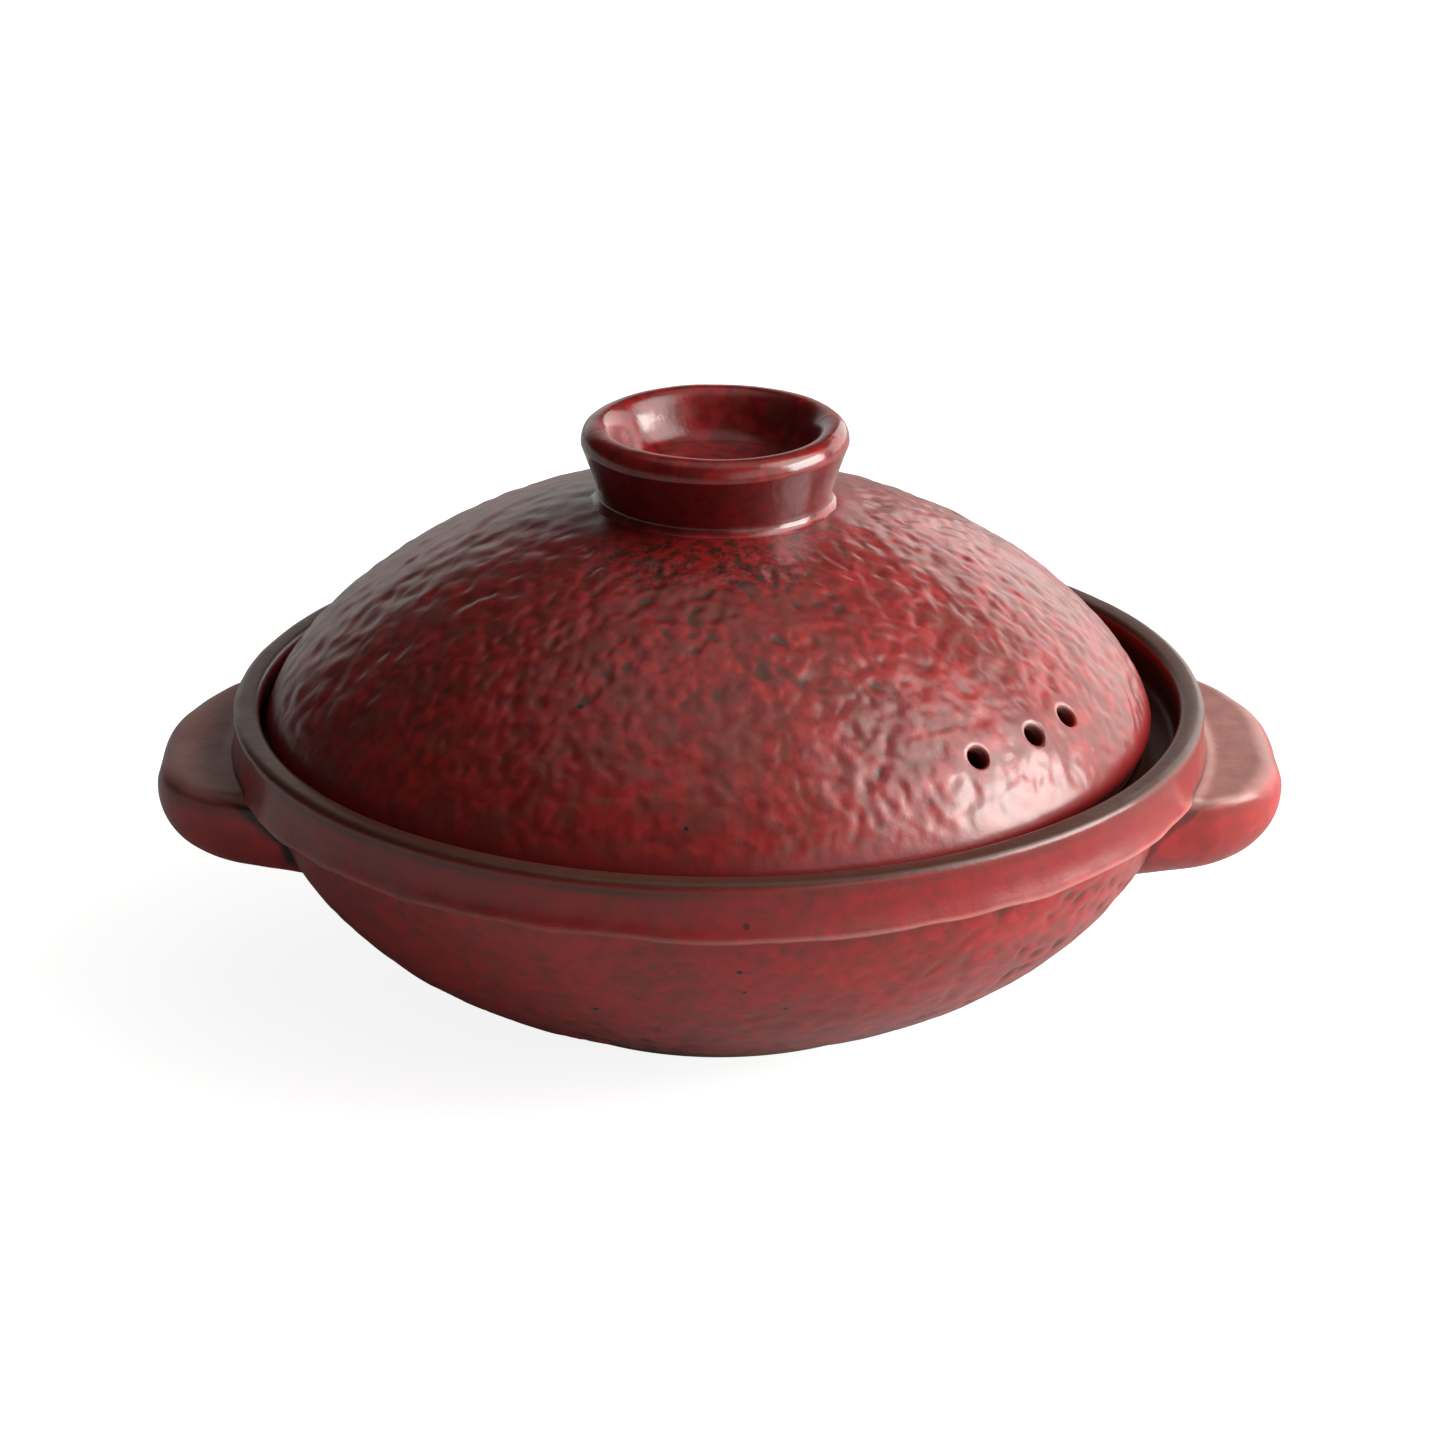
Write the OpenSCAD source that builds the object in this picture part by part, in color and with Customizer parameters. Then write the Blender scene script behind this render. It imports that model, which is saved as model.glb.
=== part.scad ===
// Earthenware casserole: a round-bellied bowl with a collar, a lid that sits in a
// gallery inside the rim, a cupped knob and two solid tab handles.
// The bowl stands on the XY plane with its axis on Z, and the handles lie along X.

/* [Bowl] */
// Outer diameter over the rim
rim_d = 280; // [240:1:320]
// Height of the rim above the table
bowl_h = 87; // [76:1:110]
// Width of the rim's flat lip, from the outside to the gallery
lip_w = 7.6; // [6:0.2:10]
// Radius of the lip's outer edge
lip_round = 1.8; // [1:0.1:2.8]
// Height of the collar, from the lip down to the ridge under it
collar_h = 16; // [13:0.5:20]
// How far the ridge stands out past the rim
ridge_out = 1.2; // [0.6:0.1:2.5]
// How far the belly is set back under the ridge
belly_step = 7; // [3:0.1:9]
// Thickness of the bowl's floor
floor_t = 7.5; // [6:0.5:12]
// Diameter over the foot ring
foot_d = 127; // [100:1:150]
// Width of the foot ring
foot_w = 9; // [6:0.5:16]
// Height of the foot ring
foot_h = 2; // [1.6:0.1:4]

/* [Gallery] */
// Depth of the lid's seat below the rim
gallery_depth = 13; // [10:0.5:16]
// Width of the ledge that carries the lid
ledge_w = 12; // [10:0.5:16]

/* [Lid] */
// Clearance between the lid's edge and the gallery wall, all round when centred
lid_clear = 4.8; // [3.4:0.1:6]
// How far the lid has slipped sideways in the gallery
lid_slip = -3.1; // [-3.2:0.1:3.2]
// Height of the dome's crown above the rim
dome_rise = 62; // [45:1:80]
// Depth of the dome's widest line below the rim
lid_edge_drop = 4.5; // [2:0.5:6]
// Thickness of the dome
dome_wall = 7; // [5:0.5:9]
// Width of the flat ring that the lid stands on
lid_seat_w = 5.5; // [4:0.5:7]
// Gap left under the lid's seat
seat_gap = 0.3; // [0.2:0.1:0.5]

/* [Steam vents] */
// Diameter of a steam vent
vent_d = 6.2; // [4:0.2:8]
// Directions of the vents round the lid
vent_angles = [-50.3, -38.8, -30.3];

/* [Knob] */
// Diameter over the knob's lip
knob_d = 76; // [64:1:90]
// Diameter of the knob's neck
knob_neck_d = 66; // [56:1:80]
// Diameter of the flare where the knob spreads on the dome
knob_flare_d = 84; // [74:1:96]
// Height of the knob's lip above the dome's crown
knob_h = 20; // [15:1:35]
// Thickness of the knob's lip, measured down its side
knob_lip_h = 5.5; // [4:0.5:8]
// Width of the knob's lip, from the outside to the cup
knob_lip_w = 9.5; // [7:0.5:12]
// How far the knob sits off the dome's middle
knob_shift = 1.9; // [-3:0.1:3]
// Depth of the cup in the knob
cup_depth = 13; // [8:0.5:16]
// Diameter of the cup's flat floor
cup_floor_d = 38; // [28:1:44]

/* [Handles] */
// How far each handle stands out past the rim
handle_out = 22.7; // [15:0.1:40]
// Width of a handle across its corners
handle_w = 111; // [104:0.5:120]
// Width of a handle where it meets the bowl
handle_root_w = 116; // [104:1:124]
// Thickness of a handle
handle_t = 27.6; // [22:0.2:32]
// Depth of a handle's top face below the rim
handle_drop = 14.7; // [12:0.1:18]
// Turn of the handles round the bowl, towards its back
handle_turn = 4.2; // [-6:0.1:6]
// Radius of a handle's tip
tip_r = 61; // [54:1:80]
// Radius of a handle's front corner
front_corner_r = 33; // [26:0.5:46]
// Radius of a handle's back corner
back_corner_r = 54; // [26:0.5:54]
// Radius along a handle's top edge
handle_top_round = 4; // [2:0.5:6]
// How far a handle's rounded underside reaches in from its edge
handle_low_in = 20; // [8:0.5:24]

/* [Hidden] */
$fn = 144;

// Segments along a long curve, a short curve, a handle's underside and a rounded edge
long_steps = 30;
short_steps = 14;
under_steps = 10;
edge_steps = 6;
// Facets of a handle's rounded corners
handle_fn = 40;
// Overrun of every cut
over = 1;

// Glazes
glaze_red = [0.42, 0.09, 0.10];
glaze_dark = [0.33, 0.08, 0.08];
glaze_brown = [0.36, 0.16, 0.14];

// Bowl, worked out from the sizes above
rim_r = rim_d / 2;
gallery_r = rim_r - lip_w;
ledge_r = gallery_r - ledge_w;
ledge_z = bowl_h - gallery_depth;
ridge_r = rim_r + ridge_out;
ridge_z = bowl_h - collar_h;
foot_r = foot_d / 2;
floor_z = foot_h + floor_t;
// Radius of the lip's inner edge, the ridge, the ledge's nose and the foot
lip_inner_round = 1.6;
ridge_round = 1.4;
nose_round = 2.2;
gallery_fillet = 2.5;
foot_round = 0.9;
// Angle that the ridge's round turns in under itself
ridge_under = 60;
// Height taken by the sloping step under the ridge
step_h = 2.6;
// Pull of the belly's curve, as shares of its width and height from the top
belly_shares = [[0.16, 0.58], [0.59, 0.84]];
// Pull of the inside wall's curve, as shares of its width and height from the top
inside_shares = [[0.02, 0.42], [0.38, 0.89]];
// Radius of the flat inside floor, as a share of the foot's radius
inside_floor_share = 0.8;

// Lid, worked out from the sizes above
lid_r = gallery_r - lid_clear;
lid_z = bowl_h - lid_edge_drop;
seat_z = ledge_z + seat_gap;
crown_z = bowl_h + dome_rise;
// Setback of the lid's standing ring inside the dome's widest line
lid_seat_in = 2.6;
// Radius of the lid's edge under its widest line, and of its standing ring
lid_seat_round = 1;
// Radius and height of the shallow cap that closes the dome under the knob
cap_r = 30;
cap_h = 2.4;
// Pull of the dome's curve, as shares of its width and height from the edge
dome_shares = [[0.066, 0.38], [0.54, 0.886]];
// Pull of the cap's curve, as shares of its radius and height
cap_shares = [[1 / 3, 2 / 3], [2 / 3, 1]];
// Where the vents lie on the dome, as a share of its curve from the edge
vent_share = 0.26;

// Knob, worked out from the sizes above
knob_r = knob_d / 2;
knob_top_z = crown_z + knob_h;
neck_r = knob_neck_d / 2;
flare_r = knob_flare_d / 2;
cup_floor_z = knob_top_z - cup_depth;
cup_floor_r = cup_floor_d / 2;
// Height of the neck's narrowest line above the dome, and depth of the flare's edge in it
neck_lift = 3;
flare_sink = 0.7;
// Radius of the knob's lower lip corner, and the angle that it turns in under itself
knob_corner_round = 1.3;
knob_corner_under = 50;
// Pull of the flare's fillet and of the lip's and cup's curves, as shares
flare_shares = [[0.40, 0.30], [0.95, 0.50]];
lip_shares = [[0.02, 0.65], [0.35, 1]];
cup_shares = [[0.45, 0], [0.45, 0.95]];

// Handles, worked out from the sizes above
handle_reach = rim_r + handle_out;
handle_top_z = bowl_h - handle_drop;
// How high the rounded underside of a handle reaches, as a share of what its top round leaves
under_share = 0.95;
handle_low_up = (handle_t - handle_top_round) * under_share;
// How far inside the rim a handle's root lies, and its radius, a little over the underside's
root_in = 50;
root_more = 4;
root_r = handle_low_in + root_more;

// Point at share t of a cubic curve from a to b, with its pulls given as shares
// of the way across and of the way up
function pull(a, b, share) = [a.x + (b.x - a.x) * share.x, a.y + (b.y - a.y) * share.y];
function cubic(a, c, d, b, t) =
    pow(1 - t, 3) * a + 3 * pow(1 - t, 2) * t * c + 3 * (1 - t) * t * t * d + t * t * t * b;
function curve_at(a, b, shares, t) = cubic(a, pull(a, b, shares[0]), pull(a, b, shares[1]), b, t);
function curve(a, b, shares, steps) = [for (i = [0 : steps]) curve_at(a, b, shares, i / steps)];

// Direction of the same curve at share t, as a unit vector
function cubic_slope(a, c, d, b, t) =
    pow(1 - t, 2) * (c - a) + 2 * (1 - t) * t * (d - c) + t * t * (b - d);
function unit(v) = v / norm(v);
function slope_at(a, b, shares, t) =
    unit(cubic_slope(a, pull(a, b, shares[0]), pull(a, b, shares[1]), b, t));

// The same curve moved sideways by a wall's thickness, to its left
function left_of(v) = [-v.y, v.x];
function offset_curve(a, b, shares, wall, steps) = [
    for (i = [0 : steps])
        curve_at(a, b, shares, i / steps) + wall * left_of(slope_at(a, b, shares, i / steps))
];

// Points of an oval or a round arc about a centre, from one angle to another
function oval(centre, across, up, from, to, steps) = [
    for (i = [0 : steps])
        let (a = from + (to - from) * i / steps)
            centre + [across * cos(a), up * sin(a)]
];
function arc(centre, r, from, to, steps) = oval(centre, r, r, from, to, steps);
function flipped(points) = [for (i = [len(points) - 1 : -1 : 0]) points[i]];

// Outside of the bowl, from the foot ring up to the lip
belly_top = [ridge_r - belly_step, ridge_z - step_h];
belly_foot = [foot_r, foot_h];
belly_line = flipped(curve(belly_top, belly_foot, belly_shares, long_steps));
ridge_line = arc([ridge_r - ridge_round, ridge_z], ridge_round, -ridge_under, 0, edge_steps);
lip_line = arc([rim_r - lip_round, bowl_h - lip_round], lip_round, 0, 90, edge_steps);
outside_line = concat(belly_line, ridge_line, lip_line);

// Inside of the bowl, from the lip down into the gallery, over the ledge and to the floor
lip_inner_line = arc(
    [gallery_r + lip_inner_round, bowl_h - lip_inner_round], lip_inner_round, 90, 180, edge_steps
);
gallery_line = arc(
    [gallery_r - gallery_fillet, ledge_z + gallery_fillet], gallery_fillet, 0, -90, edge_steps
);
nose_line = arc([ledge_r + nose_round, ledge_z - nose_round], nose_round, 90, 180, edge_steps);
inside_top = [ledge_r, ledge_z - nose_round];
inside_foot = [foot_r * inside_floor_share, floor_z];
inside_line = curve(inside_top, inside_foot, inside_shares, long_steps);

// Foot ring, from the recess under the floor out to the belly
foot_inner_r = foot_r - foot_w;
foot_line = concat(
    [[foot_inner_r, foot_h]],
    arc([foot_inner_r + foot_round, foot_round], foot_round, 180, 270, edge_steps),
    arc([foot_r - foot_round, foot_round], foot_round, -90, 0, edge_steps)
);

module pot_bowl() {
    color(glaze_red)
        rotate_extrude()
            polygon(concat(
                [[0, floor_z], [0, foot_h]],
                foot_line,
                outside_line,
                lip_inner_line,
                gallery_line,
                nose_line,
                inside_line
            ));
}

// Everything inside the bowl's outer surface, to fit the handles to it
module bowl_outer() {
    rotate_extrude()
        polygon(concat([[0, foot_h]], outside_line, [[0, bowl_h]]));
}

// How far a round of the reach's radius falls back at a distance from its middle
function tip_drop(y) = handle_reach - sqrt(handle_reach * handle_reach - y * y);

// Disc with a handle's edge: a tight round on top and a deep oval one below
module pebble(r) {
    low = oval([r - handle_low_in, handle_low_up], handle_low_in, handle_low_up, -90, 0, under_steps);
    top = arc([r - handle_top_round, handle_t - handle_top_round], handle_top_round, 0, 90, edge_steps);
    rotate_extrude($fn = handle_fn)
        polygon(concat([[0, 0]], low, top, [[0, handle_t]]));
}

// A disc in a corner of the handle, just inside the tip's round; side is -1 at the front
module corner_pebble(r, side) {
    y = handle_w / 2 - r;
    translate([handle_reach - tip_drop(y) - r, side * y, 0])
        pebble(r);
}

// One solid tab on the +X side: a blunt tip, a tight front corner, a softer back
// corner and sides that run back into the bowl
module tab() {
    translate([0, 0, handle_top_z - handle_t])
        rotate([0, 0, handle_turn])
        hull() {
            translate([handle_reach - tip_r, 0, 0])
                pebble(tip_r);
            corner_pebble(front_corner_r, -1);
            corner_pebble(back_corner_r, 1);
            for (side = [-1, 1])
                translate([rim_r - root_in, side * (handle_root_w / 2 - root_r), 0])
                    pebble(root_r);
        }
}

module handle_right() {
    color(glaze_brown)
        difference() {
            tab();
            bowl_outer();
        }
}

module handle_left() {
    color(glaze_brown)
        difference() {
            mirror([1, 0, 0])
                tab();
            bowl_outer();
        }
}

// Outside of the dome, from its widest line up to the cap and the crown
dome_edge = [lid_r, lid_z];
dome_shoulder = [cap_r, crown_z - cap_h];
dome_curve = curve(dome_edge, dome_shoulder, dome_shares, long_steps);
cap_curve = curve(dome_shoulder, [0, crown_z], cap_shares, short_steps);
dome_line = concat(dome_curve, cap_curve);

// Inside of the dome, one wall's thickness in from the outside
dome_in_curve = offset_curve(dome_edge, dome_shoulder, dome_shares, dome_wall, long_steps);
cap_in_curve = curve(dome_in_curve[long_steps], [0, crown_z - dome_wall], cap_shares, short_steps);
dome_inside_line = flipped(concat(dome_in_curve, cap_in_curve));

// The lid's edge below its widest line, down to the flat standing ring
seat_outer_r = lid_r - lid_seat_in;
seat_inner_r = seat_outer_r - lid_seat_w;
lid_edge_line = concat(
    [[seat_inner_r, seat_z]],
    arc([seat_outer_r - lid_seat_round, seat_z + lid_seat_round], lid_seat_round, -90, 0, edge_steps)
);

module lid_dome() {
    color(glaze_red)
        translate([lid_slip, 0, 0])
            difference() {
                rotate_extrude()
                    polygon(concat(lid_edge_line, dome_line, dome_inside_line));
                for (angle = vent_angles)
                    rotate([0, 0, angle])
                        vent();
            }
}

// One steam vent, drilled square to the dome
module vent() {
    spot = curve_at(dome_edge, dome_shoulder, dome_shares, vent_share);
    way = slope_at(dome_edge, dome_shoulder, dome_shares, vent_share);
    translate([spot.x, 0, spot.y])
        rotate([0, 90 - atan2(-way.x, way.y), 0])
            translate([0, 0, -dome_wall - over])
                cylinder(d = vent_d, h = dome_wall + 2 * over);
}

// Everything inside the dome's outer surface, to fit the knob to it
module dome_outer() {
    rotate_extrude()
        polygon(concat([[0, lid_z]], dome_line));
}

// Height of the dome's outside at a distance from its axis
function dome_z(r) = lookup(r, dome_line);

module lid_knob() {
    neck = [neck_r, dome_z(neck_r) + neck_lift];
    flare = [flare_r, dome_z(flare_r) - flare_sink];
    base_z = flare.y - dome_wall;
    corner_z = knob_top_z - knob_lip_h;
    flare_line = curve(flare, neck, flare_shares, short_steps);
    corner_line = arc(
        [knob_r - knob_corner_round, corner_z], knob_corner_round, -knob_corner_under, 0, edge_steps
    );
    lip_top = [knob_r - knob_lip_w / 2, knob_top_z];
    cup_line = curve(lip_top, [cup_floor_r, cup_floor_z], cup_shares, short_steps);
    color(glaze_dark)
        translate([lid_slip, 0, 0])
            difference() {
                translate([knob_shift, 0, 0])
                    rotate_extrude()
                        polygon(concat(
                            [[0, base_z], [flare_r, base_z]],
                            flare_line,
                            corner_line,
                            curve([knob_r, corner_z], lip_top, lip_shares, short_steps),
                            cup_line,
                            [[0, cup_floor_z]]
                        ));
                dome_outer();
            }
}

pot_bowl();
handle_left();
handle_right();
lid_dome();
lid_knob();
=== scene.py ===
import math

import bpy
import numpy as np
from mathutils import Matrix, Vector
from mathutils.kdtree import KDTree


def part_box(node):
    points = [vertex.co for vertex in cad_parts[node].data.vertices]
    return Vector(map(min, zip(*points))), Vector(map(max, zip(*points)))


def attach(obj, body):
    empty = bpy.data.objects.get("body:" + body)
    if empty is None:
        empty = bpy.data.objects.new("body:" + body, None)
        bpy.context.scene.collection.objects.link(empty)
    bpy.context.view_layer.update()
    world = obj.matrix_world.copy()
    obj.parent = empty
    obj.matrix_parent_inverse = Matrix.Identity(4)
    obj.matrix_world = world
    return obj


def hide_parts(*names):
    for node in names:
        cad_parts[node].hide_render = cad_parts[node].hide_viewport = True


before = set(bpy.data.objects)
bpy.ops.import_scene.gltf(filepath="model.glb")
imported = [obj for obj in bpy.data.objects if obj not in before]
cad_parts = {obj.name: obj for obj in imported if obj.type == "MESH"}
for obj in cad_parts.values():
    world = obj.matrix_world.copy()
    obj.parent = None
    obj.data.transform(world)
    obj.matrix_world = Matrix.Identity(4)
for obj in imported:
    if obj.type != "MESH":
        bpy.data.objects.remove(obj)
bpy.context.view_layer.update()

# A red-glazed clay casserole: a thrown bowl with two clay tabs, and a hammered lid with a cupped
# knob. Every piece is one mesh with marks on its points, from 0 to 1, and its glaze reads them.
# The camera looks along +y, x runs to the right and z up. Lengths are in millimetres, and a mesh
# is scaled to metres when it is made.
MM = 0.001
_, bowl_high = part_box("pot_bowl")
dome_low, dome_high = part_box("lid_dome")
_, knob_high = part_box("lid_knob")
_, tab_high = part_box("handle_right")

# Bowl
RIDGE_R = bowl_high.y / MM
BOWL_H = bowl_high.z / MM
RIDGE_PROUD = 1.2
RIM_R = RIDGE_R - RIDGE_PROUD
LIP_W = 7.6
LIP_ROUND = 2.4
LIP_IN_ROUND = 2.0
COLLAR_H = 16
RIDGE_Z = BOWL_H - COLLAR_H
BELLY_STEP = 6.4
STEP_H = 2.6
RIDGE_ROUND = 0.9
RIDGE_ARC = (-75, 10)
RIDGE_FLARE_H = 8
RIDGE_FLARE_SHARES = ((0.15, 0.25), (1, 0.45))
FLOOR_Z = 9.5
FOOT_R = 63.5
FOOT_W = 9
FOOT_H = 2
FOOT_ROUND = 0.9
GALLERY_R = RIM_R - LIP_W
GALLERY_DEPTH = 13
GALLERY_FILLET = 2.5
LEDGE_W = 12
LEDGE_R = GALLERY_R - LEDGE_W
LEDGE_Z = BOWL_H - GALLERY_DEPTH
NOSE_ROUND = 2.2
BELLY_SHARES = ((0.16, 0.58), (0.59, 0.84))
INSIDE_SHARES = ((0.02, 0.42), (0.38, 0.89))
INSIDE_FLOOR_R = 50.8

# Lid
LID_X = (dome_low.x + dome_high.x) / 2 / MM
LID_R = dome_high.y / MM
LID_BELOW_LIP = 4.5
LID_Z = BOWL_H - LID_BELOW_LIP
SEAT_Z = dome_low.z / MM
CROWN_Z = dome_high.z / MM
DOME_WALL = 7
SEAT_R = LID_R - 2.6
SEAT_W = 5.5
SEAT_H = 3
SEAT_ROUND = 1
CAP_R = 30
CAP_H = 2.4
DOME_EDGE = (LID_R, LID_Z)
DOME_SHOULDER = (CAP_R, CROWN_Z - CAP_H)
DOME_SHARES = ((0.066, 0.38), (0.54, 0.886))
CAP_SHARES = ((1 / 3, 2 / 3), (2 / 3, 1))
EDGE_SHARES = ((0.05, 0.45), (1, 0.55))

# Steam vents: share of the way up the dome, and angles round it in degrees
VENT_R = 3.2
VENT_SHARE = 0.26
VENT_ANGLES = (-50.3, -38.8, -30.3)
VENT_MOUTH = 1.1
VENT_MOUTH_ARC = (180, 96, 8)
VENT_DROP = 0.1
VENT_SPREAD = 0.35
VENT_OVER = 1.5
VENT_UNDER = 4

# Knob
KNOB_X = LID_X + 1.9
KNOB_TOP_Z = knob_high.z / MM
KNOB_R = 38.2
NECK_R = 33
NECK_LIFT = 2.3
FLARE_R = 36
FLARE_SHARES = ((0.55, 0.12), (0.97, 0.45))
FLARE_SUNK = 0.35
BASE_IN = 6
BASE_SUNK = 1.2
BASE_MIDDLE_SUNK = 2
KNOB_LIP_H = 5.5
KNOB_LIP_W = 9.5
KNOB_CORNER_Z = KNOB_TOP_Z - KNOB_LIP_H
KNOB_CORNER_ROUND = 1.6
KNOB_CORNER_ARC = (-30, 0)
CUP_Z = KNOB_TOP_Z - 13
CUP_FLOOR_R = 19
CUP_FLOOR_FALL = 0.4
LIP_SHARES = ((0.02, 0.65), (0.35, 1))
CUP_SHARES = ((0.45, 0), (0.45, 1))

# Handles, with the sizes that differ by side: -1 is the left one and 1 the right one
TAB_REACH = tab_high.x / MM
TAB_TOP_Z = {-1: 71.7, 1: 71.8}
TAB_T = {-1: 27.7, 1: 27.9}
TAB_W = {-1: 109, 1: 113}
TAB_TURN = math.radians(4.4)
TAB_ROOT_W = 116
TAB_ROOT_R = 24
TAB_ROOT_X = 90
TAB_ROOT_DEPTH = 3.5
TAB_MIDDLE_X = 128
TIP_R = 61
FRONT_CORNER_R = 34
BACK_CORNER_R = 53
TAB_TOP_ROUND = 4
TAB_TIP_MORE = 3.5
TAB_LOW_IN = 20
TAB_LOW_UP_SHARE = 0.95
TAB_FILLET = 2.8
TAB_FILLET_UP = 0.9

# Mesh: how far apart the rows lie, fine where the form is tight and wide where nothing shows
BOWL_ROWS = {
    "base": 4, "belly": 1.35, "ridge": 0.35, "flare": 0.7, "collar": 1.2, "lip": 0.5,
    "gallery": 2.5, "ledge": 1, "inside": 4, "floor": 5,
}
DOME_ROWS = {"inside": 5, "seat_in": 1.5, "seat": 1.2, "edge": 1, "outside": 0.98, "cap": 1.2}
KNOB_ROWS = {
    "base": 3, "flare": 0.6, "wall": 1, "corner": 0.4, "lip": 0.6, "cup": 0.7, "floor": 1.2,
}
# Columns round the axis, on the bowl's outside and elsewhere, and beyond each radius of the rest
BOWL_COLUMNS, BOWL_HIDDEN_COLUMNS = 720, 180
DOME_COLUMNS, DOME_HIDDEN_COLUMNS = ((74, 800), (34, 400), (-1, 200)), 200
KNOB_COLUMNS = ((8, 240), (-1, 60))
VENT_COLUMNS = 48
TAB_COLUMNS = 420
TAB_DIRECTIONS = 2000
TAB_FLAT_ROWS = 36
TAB_LOW_ROWS, TAB_TOP_ROWS = 34, 14
# Points of a curve before it is spaced out in rows
CURVE_POINTS = 200
FLARE_POINTS = 30
CAP_POINTS = 40
KNOB_POINTS = 60
CUP_POINTS = 80
VENT_POINTS = 101
ARC_POINTS = 12
FOOT_POINTS = 5
# A straight row starts this far past the rounding before it
FOOT_GAP, LIP_GAP, FLOOR_GAP = 0.3, 1, 3
SAME_POINT = 0.05
# The baking map keeps a margin beside its seam
MAP_LEFT, MAP_W = 0.005, 0.985

# Waves of a thrown wall: height, size of the features and seed of each layer
BOWL_WAVES = ((0.30, 22, 5), (0.10, 7, 6))
BOWL_INSIDE_WAVES = ((0.15, 30, 7),)
RIDGE_WANDER = ((0.7, 16, 8), (0.6, 38, 9))
DOME_WAVES = ((0.25, 18, 15),)
DOME_FINE_WAVES = ((1, 7, 16),)
DOME_INSIDE_WAVES = ((0.1, 30, 17),)
KNOB_WAVES = ((0.22, 26, 41), (0.08, 9, 42))
# How far in the waves lie on average, so that no piece swells past its solid
BOWL_WAVES_IN = 0.2
RIDGE_WANDER_DOWN = 0.2
DOME_WAVES_IN = 0.1
KNOB_WAVES_IN = 0.12
TAB_WAVES_IN = 0.45

# Hammered hollows: spacing and seed of their places, and how long, wide and deep they are
BOWL_HOLLOWS = dict(spacing=7.2, seed=21, longs=(2.4, 4.4), shorts=(1.5, 2.3), depth=0.70)
DOME_PITS = dict(spacing=7.5, seed=31, longs=(2.0, 3.4), shorts=(1.5, 2.3), depth=0.50)
DOME_BROAD = dict(spacing=10, seed=32, longs=(3.0, 5.0), shorts=(2.4, 3.6), depth=0.50)
HOLLOW_SPREAD = (1.6, 2.6)
HOLLOW_GAIN = 1.8
HOLLOW_BEND = 0.10
HOLLOW_REACH = 2.6
SAME_SIDE = 0.3
# Where the bowl is dented: by the depth under its ridge, and by x
BOWL_DENT_BELOW = (22, 52)
BOWL_DENT_RIGHT = (0, 85)
BOWL_DENT_LEAST, BOWL_DENT_MORE = 0.12, 1.1
# Places on the dome, seen from above from its axis: middle and reach along x and y
CALM_FRONT = ((0, -112), (42, 28))
DARK_BAND = ((-10, -78), (75, 36))
SOFT_ROUND_VENTS = ((76, -76), (34, 34))
VENT_CALM = (4.5, 11)
# The fine dimples: how far and how finely their places are warped, and the seeds of that
DIMPLE_WARP = 1.3
DIMPLE_WARP_SIZE = 6
DIMPLE_WARP_SEEDS = (61, 62, 63)

# Where marks, dents and waves fade in: the two ends of each smooth step
LIP_THIN_Z = (BOWL_H - 2.6, BOWL_H - 0.4)
LIP_WORN_Z = (BOWL_H - 5, BOWL_H - 1)
LIP_CALM_Z = (BOWL_H - 7, BOWL_H - 3)
GALLERY_SHADE_Z = (BOWL_H - 1.5, BOWL_H - 4.5)
COLLAR_Z = (RIDGE_Z, RIDGE_Z + 3)
FOOT_CALM_Z = (1, 6)
FOOT_THIN_R = (FOOT_R + 32, FOOT_R + 8)
EDGE_CALM = (1, 11)
CROWN_CALM_R = (40, 50)
DIMPLE_SHARP = (-50, 25)
KNOB_WAVES_Z = (CROWN_Z - 4, CROWN_Z + 4)
KNOB_LIP_Z = (KNOB_TOP_Z - 8, KNOB_TOP_Z - 2)
TIP_ROUND_X = (TAB_REACH - 16, TAB_REACH - 2)
TIP_DULL_X = (TAB_REACH - 26, TAB_REACH - 10)
# Painted shade, with dark pooled glaze, in the crease between the bowl and the handles, which shows
# in front alone
CREASE_FRONT_Y = 20
BOWL_CREASE_W = 1.3
BOWL_CREASE_Z = (50, 56)
TAB_CREASE_Z = (47, 54)
TAB_CREASE_W = {-1: 1.9, 1: 1.5}
TAB_CREASE_SHADE_SHARE = {-1: 1.0, 1: 0.6}
# Painted shade: the olive band under a handle's top edge, strongest on the left handle
TAB_BAND_SHADE_SHARE = {-1: 1.0, 1: 0.35}

# Camera, from the photograph's rim ellipse, in metres
CAMERA_HEIGHT_ANGLE = math.radians(21.44)
CAMERA_DISTANCE = 1.5
CAMERA_LENS = 129.86
CAMERA_SENSOR = 36
CAMERA_TARGET = Vector((0.0002, 0, 0.0780))
RIM_PLANE_Z = 0.086

# Light. Glows are soft patches of the world: direction, outer and inner reach in degrees, strength
LIGHT_TINT = (1, 0.98, 0.94)
WORLD_BASE = 0.02
WORLD_GLOWS = (
    ((150, 86), (38, 5), 0.50),
    ((20, 42), (60, 20), 0.04),
    ((50, 2), (46, 8), 1.35),
    ((0, 2), (45, 10), 0.05),
    ((-168, 3), (30, 8), 0.66),
    ((86, 40), (31, 4), 4.4),
)
# Lamps: direction, distance, size and power
LAMP_AIM = Vector((0, 0, 0.07))
LAMPS = (
    ("key", (84, 16), 1.2, (0.76, 0.66), 18.0),
    ("panel", (140, 15), 1.5, (1.4, 0.9), 7.5),
)
FLOOR_SIZE = 6.0
FLOOR_GREY = 0.48
FLOOR_ROUGHNESS = 0.9
FLOOR_LIFT = 0.88
WHITE = (1, 1, 1, 1)


# Lines


def blend(a, b, share):
    """a where the share is 0 and b where it is 1."""
    return a + (b - a) * np.asarray(share)


def pulls(a, b, shares, count):
    """The four points that steer a cubic curve, and the steps along it."""
    a, b = np.array(a, float), np.array(b, float)
    return a, blend(a, b, shares[0]), blend(a, b, shares[1]), b, np.linspace(0, 1, count)[:, None]


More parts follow.
